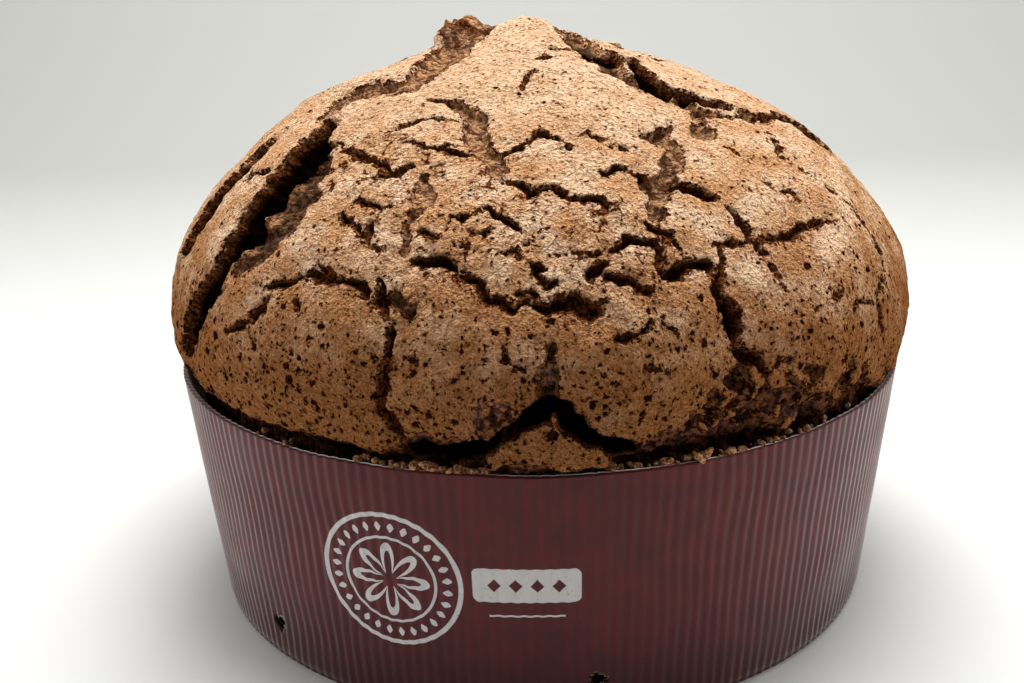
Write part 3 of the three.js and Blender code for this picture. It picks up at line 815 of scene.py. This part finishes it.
def bakedCrust():
    # every void is told by how far a place lies inside the crust in millimetres, which is negative in a void
    shader = Shader("baked_crust")
    look = crustLook
    place = shader.place()
    sunk = shader.attribute("sunk")
    narrow = shader.attribute("narrow")
    crackle = shader.attribute("crackle")
    height = shader.split(place)[2] / mm
    patch = shader.noise(place, 9.0, 4.0)
    knobs = shader.noise(place, 1.9, 3.0)
    fine = shader.noise(place, 0.8, 3.0)
    grain = shader.noise(place, 0.4, 2.0)
    low = (height + (patch - 0.5) * 50.0).steps(124.0, 80.0)
    ragged = (shader.noise(place, 2.2, 3.0) - 0.5) * 3.0 + (fine - 0.5) * 2.4
    modelled = (shader.attribute("crustEdge") - 0.2 + ragged).atMost(1.1 - sunk)
    inside = modelled

    for cell, common, widest, spread in ((6.8, 1.1, 0.85, 3.6), (3.3, 0.84, 0.62, 2.4)):
        jagged = shader.shaken(shader.shaken(place, cell * 0.6, cell * 0.26), 1.0, 0.5)
        line = shader.cells(jagged, cell, "Distance", "DISTANCE_TO_EDGE") * cell
        half = (shader.noise(place, cell, 2.0) - 0.5) * spread + crackle * widest - common
        inside = inside.atMost(line - half + ragged * 0.4)

    shaken = shader.shaken(shader.shaken(place, 1.6, 0.55), 0.6, 0.38)
    pores = []
    apart = []
    for cell, largest, spared in ((3.0, 1.35, 0.3), (1.6, 0.8, 0.0), (0.95, 0.46, 0.0)):
        drawn = shader.split(shader.cells(shaken, cell, "Color"))[0]
        reach = ((drawn - spared) / (1 - spared)).atLeast(0.0) ** 2.0 * largest * (0.5 + 0.5 * low) - 0.06
        apart.append(shader.cells(shaken, cell, "Distance"))
        pores.append(apart[-1] * cell - reach + ragged * 0.22)
    pit = pores[0].atMost(pores[1]).atMost(pores[2])
    inside = inside.atMost(pit)
    onCrust = inside.steps(-0.05, 0.08)

    base = shader.mix(patch.steps(0.35, 0.68) * (1 - 0.8 * low), look["tan"], look["pale"])
    base = shader.mix(height.steps(128.0, 150.0) * 0.6, base, look["pale"])
    base = shader.mix(low * 0.85, base, look["low"])
    # partly painted shade: the hollows of the knobs, fine grain and bubbles, which the bump also sinks, are
    # darkened towards toasted brown, over the crust's own toasted specks
    speckleAndHollowShade = 0.55 + 0.45 * low
    base = shader.mix(knobs.steps(0.5, 0.36) * 0.35 * speckleAndHollowShade, base, look["toastedAndShade"])
    base = shader.mix(fine.steps(0.47, 0.36) * 0.42 * speckleAndHollowShade, base, look["toastedAndShade"])
    bubbles = 1.3 - apart[2] - 0.9 * apart[1]
    base = shader.mix(bubbles.steps(0.25, -0.05) * 0.4 * speckleAndHollowShade, base, look["toastedAndShade"])
    # painted highlights: the tops of the bubbles and grain, which the bump raises, are paler, over the
    # crust's own pale granules
    base = shader.mix(bubbles.steps(0.45, 0.95) * (0.42 - 0.3 * low), base, look["pale"])
    base = shader.mix(grain.steps(0.52, 0.64) * (0.4 - 0.28 * low), base, look["pale"])
    # painted shade: the crust darkens within about half a millimetre of the lip of every void
    base = shader.mix(inside.steps(0.45, 0.05) * 0.7, base, look["toastedAndShade"])
    mixed = shader.noise(place, 1.8, 4.0).steps(0.42, 0.58)
    chocolate = shader.mix(mixed, look["chocolateDark"], look["chocolate"])
    crumb = shader.mix(low, shader.mix(mixed, look["crumbDark"], look["crumb"]), chocolate)
    # painted sheen: greyish patches on the bare crumb stand in for its moist gloss
    paintedSheenShare = shader.noise(place, 4.0, 2.0).steps(0.5, 0.62) * (0.36 - 0.14 * low)
    crumb = shader.mix(paintedSheenShare, crumb, look["paintedSheen"])
    # painted shade: pores and narrow seams take a dark shade colour instead of crumb, voids go near black
    # with depth, and so do the middles of pores
    bare = sunk.steps(0.4, 1.0) * (1 - narrow)
    shade = shader.mix(fine.steps(0.44, 0.6), look["pore"], look["toastedAndShade"])
    void = shader.mix(bare, shade, crumb)
    void = shader.mix(sunk.steps(1.8, 4.2), void, look["deep"])
    void = shader.mix(pit.steps(0.02, -0.16) * 0.85, void, look["deep"])
    base = shader.mix(onCrust, void, base)

    # the hairlines are left out of the relief, which is worked out three times for every place
    raised = modelled.atMost(pit)
    onRaised = raised.steps(-0.05, 0.08)
    crustHeight = 0.6 * knobs + 0.6 * fine + 0.35 * grain + 0.65 * bubbles + 0.9 * raised.steps(-0.4, 0.25)
    crumbHeight = 2.4 * shader.noise(place, 1.6, 3.0) + 0.8 * fine
    relief = crustHeight * onRaised + crumbHeight * (1 - onRaised)
    return shader.feed(Base_Color=base, Roughness=0.9, Normal=shader.bump(relief), Specular_IOR_Level=0.0)


cake = makeCake()
cake.data.materials.append(bakedCrust())

# the paper case
caseSetup = {
    "flutes": 220,
    "perFlute": 5,
    "fluteDepth": 0.34,
    "rows": [0, 0.5, 1.0, 1.5, 2.2, 4, 6.4, 7.6, 8.4, 9.2, 10, 10.8, 11.6, 12.4, 13.2, 14, 14.8, 15.6,
             17, 20, 24, 28, 32, 36, 40, 44, 48, 52, 56, 60, 63, 65.4, 67, 67.8, 68.2],
    "waver": 0.25,
}
# places of the plain ornament: azimuth and height in degrees and millimetres
rosette = {"azimuth": -20.7, "height": 37.9, "radius": 18.3}
plate = {"azimuth": -2.05, "height": 39.4, "half": (12.6, 4.6), "corner": 1.7}


def makeCase():
    s = sizes
    columns = caseSetup["flutes"] * caseSetup["perFlute"]
    heights = np.array(caseSetup["rows"], float)
    azimuth = np.arange(columns) / columns * 2 * math.pi
    wave = np.cos(np.arange(columns) / caseSetup["perFlute"] * 2 * math.pi)
    a, z = np.meshgrid(azimuth, heights)
    radius = wallRadius(z)
    around = np.column_stack([60 * np.sin(a).ravel(), -60 * np.cos(a).ravel(), z.ravel()])
    waver = blobs(around, 14, 81).reshape(a.shape) + 0.5 * blobs(around, 5, 82).reshape(a.shape)
    slip = 0.007 * blobs(around * (1, 1, 0.6), 9, 83).reshape(a.shape)
    strength = 0.8 + 0.3 * blobs(around, 7, 84).reshape(a.shape)
    foot = smoothStep(0, 2.5, z)
    radius = radius - caseSetup["fluteDepth"] * (1 - wave[None, :]) / 2 * strength * (0.35 + 0.65 * foot)
    radius = radius - caseSetup["waver"] * (0.6 + 0.4 * waver)
    radius = radius - 0.9 * (1 - smoothStep(0, 1.2, z)) - 0.35 * np.exp(-(((z - 1.5) / 0.45) ** 2))
    top = z + 0.3 * blobs(around * (1, 1, 0), 10, 85).reshape(a.shape) * (z > 66)
    turn = a + slip * foot
    x, y = radius * np.sin(turn), -radius * np.cos(turn)
    points = np.column_stack([x.ravel(), y.ravel(), top.ravel()])
    index = np.arange(points.shape[0]).reshape(a.shape)
    lower, upper = index[:-1], index[1:]
    quads = np.stack([lower, np.roll(lower, -1, 1), np.roll(upper, -1, 1), upper], axis=-1).reshape(-1, 4)
    centre = points[quads].mean(axis=1)
    keep = np.ones(len(quads), bool)
    for hole in skewerHeadings():
        at = math.radians(hole)
        across = centre[:, 0] * math.cos(at) + centre[:, 1] * math.sin(at)
        outward = centre[:, 0] * math.sin(at) - centre[:, 1] * math.cos(at)
        up = centre[:, 2] - skewer["height"]
        angle = np.arctan2(up, across)
        torn = 1 + 0.16 * np.sin(3 * angle + hole) + 0.12 * np.sin(7 * angle + 2 * hole)
        ragged = skewer["radius"] * torn
        keep &= ~((np.hypot(across, up) < ragged) & (outward > 0))
    faces = [tuple(q) for q in quads[keep]]
    hub = len(points)
    points = np.concatenate([points, [[0, 0, 0]]])
    faces += [(hub, index[0, (i + 1) % columns], index[0, i]) for i in range(columns)]
    case = meshObject("paper_wall", points, faces)
    thick = case.modifiers.new("thickness", "SOLIDIFY")
    thick.thickness = s["paper"] * mm
    thick.offset = -1
    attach(case, "root")
    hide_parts("paper_case")
    print("paper case:", len(points), "points,", len(faces), "faces")
    return case


paperLook = {
    "red": colour(103, 22, 20),
    # darker maroon, for the paper's darker streaks and blotches and also the painted shade in the flutes'
    # troughs
    "deep": colour(74, 19, 20),
    # painted shade for the lower part of the case
    "foot": colour(48, 14, 16),
    "print": colour(208, 204, 202),
}


def coatedPaper():
    shader = Shader("coated_paper")
    look = paperLook
    place = shader.place()
    x, y, z = shader.split(place)
    azimuth = x.math("ARCTAN2", x, -1 * y)
    height = z / mm
    wall = sizes["footRadius"] + 2.5

    across = (azimuth - math.radians(rosette["azimuth"])) * wall
    up = height - rosette["height"]
    radius = (across * across + up * up) ** 0.5
    turn = x.math("ARCTAN2", up, across)
    ring = abs(radius - (rosette["radius"] - 0.6)).steps(0.7, 0.5)
    innerRing = abs(radius - 11.6).steps(0.45, 0.25)
    beads = (abs(radius - 14.6) + (turn * 28).cos() * 1.1).steps(0.25, -0.05)
    petals = (radius - 1.2 - 9.0 * abs((turn * 4).cos()) ** 0.7).steps(0.15, -0.15)
    petals = petals * (radius - 2.0 - 6.0 * abs((turn * 4).cos()) ** 2.5).steps(-0.15, 0.15)
    mark = ring.atLeast(innerRing).atLeast(beads).atLeast(petals)

    across = (azimuth - math.radians(plate["azimuth"])) * wall
    up = height - plate["height"]
    overX = (abs(across) - (plate["half"][0] - plate["corner"])).atLeast(0.0)
    overY = (abs(up) - (plate["half"][1] - plate["corner"])).atLeast(0.0)
    sheet = ((overX * overX + overY * overY) ** 0.5 - plate["corner"]).steps(0.12, -0.12)
    step = x.math("PINGPONG", across + 20.0, 2.5)
    gems = (abs(up) * 0.9 + (step - 2.5) * -1.0 - 1.6).steps(0.15, -0.15) * abs(across).steps(11.0, 10.8)
    rules = abs(up + 8.4).steps(0.32, 0.16) * abs(across).steps(9.0, 8.8)
    mark = mark.atLeast(sheet * (1 - gems)).atLeast(rules)
    front = (y / mm).steps(-40.0, -60.0)
    worn = shader.noise(place, 0.9, 2.0).steps(0.28, 0.4)
    mark = mark * front * (0.75 + 0.25 * worn)

    flute = ((azimuth * caseSetup["flutes"]).cos() + 1) * 0.5
    blotch = shader.noise(place, 7.0, 3.0)
    stretched = shader.node("ShaderNodeMapping", {}, {"Vector": place, "Scale": (1.0, 1.0, 0.06)})
    streak = shader.noise(stretched, 1.6, 3.0)
    # painted shade and highlight: each flute is coloured lighter on its ridge and darker in its trough; the
    # blotches and streaks are the paper's own uneven tone
    fluteShadeAndTone = 0.16 * flute + 1.1 * (blotch - 0.35) + 0.8 * (streak - 0.4)
    base = shader.mix(fluteShadeAndTone.steps(0.0, 1.0), look["deep"], look["red"])
    base = shader.mix(streak.steps(0.5, 0.75) * 0.35, base, look["deep"])
    # painted shade: the case darkens towards its foot
    base = shader.mix(height.steps(34.0, 4.0) * 0.65, base, look["foot"])
    base = shader.mix(mark, base, look["print"])
    bumps = shader.bump(0.05 * shader.noise(place, 0.5, 2.0) + 0.12 * streak)
    return shader.feed(
        Base_Color=base, Roughness=0.34 + 0.2 * streak, Normal=bumps, Specular_IOR_Level=0.16,
        Coat_Weight=0.12, Coat_Roughness=0.3,
        Sheen_Weight=1.0, Sheen_Roughness=0.3, Sheen_Tint=(1.0, 0.96, 0.94, 1.0),
    )


case = makeCase()
case.data.materials.append(coatedPaper())

# loose crumbs on the rim
crumbSetup = {
    # azimuths between which crumbs lie on the rim, and how many
    "crumbs": [(-24, -4, 34), (8, 34, 52), (34, 52, 10), (-60, -24, 5), (75, 285, 80)],
    "flakes": [(-20, -7, 9), (12, 30, 8), (90, 270, 16)],
    "seed": 5,
}


def scatteredBits(name, ranges, low, high, flatness, seed):
    # rough bits of one kind in one mesh, lying in the gap behind the rim and on the rim's edge
    draw = np.random.default_rng(seed)
    ball = bpy.data.meshes.new("ball")
    start = bmesh.new()
    bmesh.ops.create_icosphere(start, subdivisions=2, radius=1)
    start.to_mesh(ball)
    start.free()
    shape = np.array([v.co for v in ball.vertices])
    sides = np.array([f.vertices for f in ball.polygons])
    bpy.data.meshes.remove(ball)
    points = []
    faces = []
    for first, last, count in ranges:
        for _ in range(count):
            size = draw.uniform(low, high) * draw.uniform(0.6, 1)
            lobes = shape * (1 + 0.35 * blobs(shape + draw.uniform(0, 30, 3), 0.9, seed))[:, None]
            bit = lobes * size * (1, draw.uniform(0.6, 1), flatness)
            turned = Matrix.Rotation(draw.uniform(0, 6.28), 3, "Z")
            spin = turned @ Matrix.Rotation(draw.normal(0, 0.35), 3, "X")
            bit = bit @ np.array(spin).T
            azimuth = math.radians(draw.uniform(first, last))
            radius = sizes["rimRadius"] - draw.uniform(1.4, 3.2)
            lift = sizes["caseHeight"] - 0.1 + 0.75 * size * flatness
            at = (radius * math.sin(azimuth), -radius * math.cos(azimuth), lift)
            faces.append(sides + sum(map(len, points)))
            points.append(bit + at)
    piece = meshPiece(name, np.concatenate(points), np.concatenate(faces))
    print(name + ":", len(points), "bits")
    return piece


def bitFinish(name, light, dark):
    shader = Shader(name)
    place = shader.place()
    grain = shader.noise(place, 0.7, 3.0)
    base = shader.mix(grain.steps(0.4, 0.6), dark, light)
    bumps = shader.bump(0.7 * grain)
    return shader.feed(Base_Color=base, Roughness=0.85, Normal=bumps, Specular_IOR_Level=0.2)


crumbs = scatteredBits("rim_crumbs", crumbSetup["crumbs"], 0.5, 1.3, 0.8, crumbSetup["seed"])
crumbs.data.materials.append(bitFinish("dark_crumb", crustLook["crumb"], crustLook["crumbDark"]))
flakes = scatteredBits("rim_flakes", crumbSetup["flakes"], 1.2, 2.8, 0.4, crumbSetup["seed"] + 1)
flakes.data.materials.append(bitFinish("crust_flake", crustLook["tan"], crustLook["toastedAndShade"]))

# floor, light and camera
stageSetup = {
    "floor": colour(213, 213, 211),
    "floorSpots": colour(209, 209, 207),
    "wall": colour(182, 182, 178),
    "glow": colour(140, 140, 137),  # makes up for how far the backdrop stands from the lights
    "backdropAt": 950,
    "bend": 250,
    "world": (0.95, 0.96, 0.96, 1.0),
    "worldPower": 0.2,
    "halfWidth": 4000,
    "backdropHeight": 2200,
    "greyFrom": 120.0,  # how far back the floor starts to turn to the grey of the backdrop
    "greyAt": 560.0,
}
# each light's place and aim in metres, its size and its power
lights = {
    "key": ((0.03, 0.085, 0.8), (0, 0.02, 0.1), 0.5, 9.8),
    "left_box": ((-0.75, 0.0, 0.3), (0, 0, 0.06), 0.4, 2.3),
    "right_box": ((0.75, 0.0, 0.3), (0, 0, 0.06), 0.4, 2.6),
}
# fitted to the photo, with the angles in radians and the focal length in pixels of its width
cameraSetup = {
    "place": (0, -334.9, 177.05),
    "pitch": 0.3238,
    "yaw": -0.0233,
    "roll": -0.0280,
    "focal": 1150,
    "width": 1024,
}


def makeStage():
    # a pale floor that sweeps up into a backdrop, far enough off to look at the back from in front of it
    wide, away, bend = stageSetup["halfWidth"], stageSetup["backdropAt"], stageSetup["bend"]
    rows = [(-wide, 0), (180, 0)]
    for turn in np.linspace(0, math.pi / 2, 14):
        rows.append((away - bend + bend * math.sin(turn), bend - bend * math.cos(turn)))
    rows.append((away, stageSetup["backdropHeight"]))
    points = [(x, y, z) for y, z in rows for x in (-wide, wide)]
    faces = [(2 * i, 2 * i + 1, 2 * i + 3, 2 * i + 2) for i in range(len(rows) - 1)]
    floor = meshObject("floor_sweep", points, faces)
    shader = Shader("pale_floor")
    place = shader.place()
    tone = shader.mix(shader.noise(place, 120.0, 2.0), stageSetup["floor"], stageSetup["floorSpots"])
    far = (shader.split(place)[1] / mm).steps(stageSetup["greyFrom"], stageSetup["greyAt"])
    tone = shader.mix(far, tone, stageSetup["wall"])
    glow = shader.mix(far, colour(0, 0, 0), stageSetup["glow"])
    finish = shader.feed(
        Base_Color=tone, Roughness=0.9, Specular_IOR_Level=0.0, Emission_Color=glow, Emission_Strength=1.0,
    )
    floor.data.materials.append(finish)


def addLight(name, place, towards, size, power):
    data = bpy.data.lights.new(name, "AREA")
    data.shape = "SQUARE"
    data.size = size
    data.energy = power
    light = bpy.data.objects.new(name, data)
    light.location = place
    light.rotation_euler = (Vector(towards) - Vector(place)).to_track_quat("-Z", "Y").to_euler()
    bpy.context.scene.collection.objects.link(light)


def addCamera():
    pitch, yaw, roll = cameraSetup["pitch"], cameraSetup["yaw"], cameraSetup["roll"]
    forward = Vector((math.sin(yaw) * math.cos(pitch), math.cos(yaw) * math.cos(pitch), -math.sin(pitch)))
    right = Vector((math.cos(yaw), -math.sin(yaw), 0))
    up = right.cross(forward)
    right, up = math.cos(roll) * right + math.sin(roll) * up, -math.sin(roll) * right + math.cos(roll) * up
    data = bpy.data.cameras.new("camera")
    data.sensor_width = 36
    data.lens = 36 * cameraSetup["focal"] / cameraSetup["width"]
    camera = bpy.data.objects.new("camera", data)
    turn = Matrix((right, up, -forward)).transposed().to_4x4()
    camera.matrix_world = Matrix.Translation(Vector(cameraSetup["place"]) * mm) @ turn
    bpy.context.scene.collection.objects.link(camera)
    bpy.context.scene.camera = camera


makeStage()
world = bpy.data.worlds.new("studio")
world.use_nodes = True
world.node_tree.nodes["Background"].inputs["Color"].default_value = stageSetup["world"]
world.node_tree.nodes["Background"].inputs["Strength"].default_value = stageSetup["worldPower"]
bpy.context.scene.world = world
for name, values in lights.items():
    addLight(name, *values)
addCamera()
bpy.context.scene.view_settings.view_transform = "Standard"
print("stage, light and camera are in place")
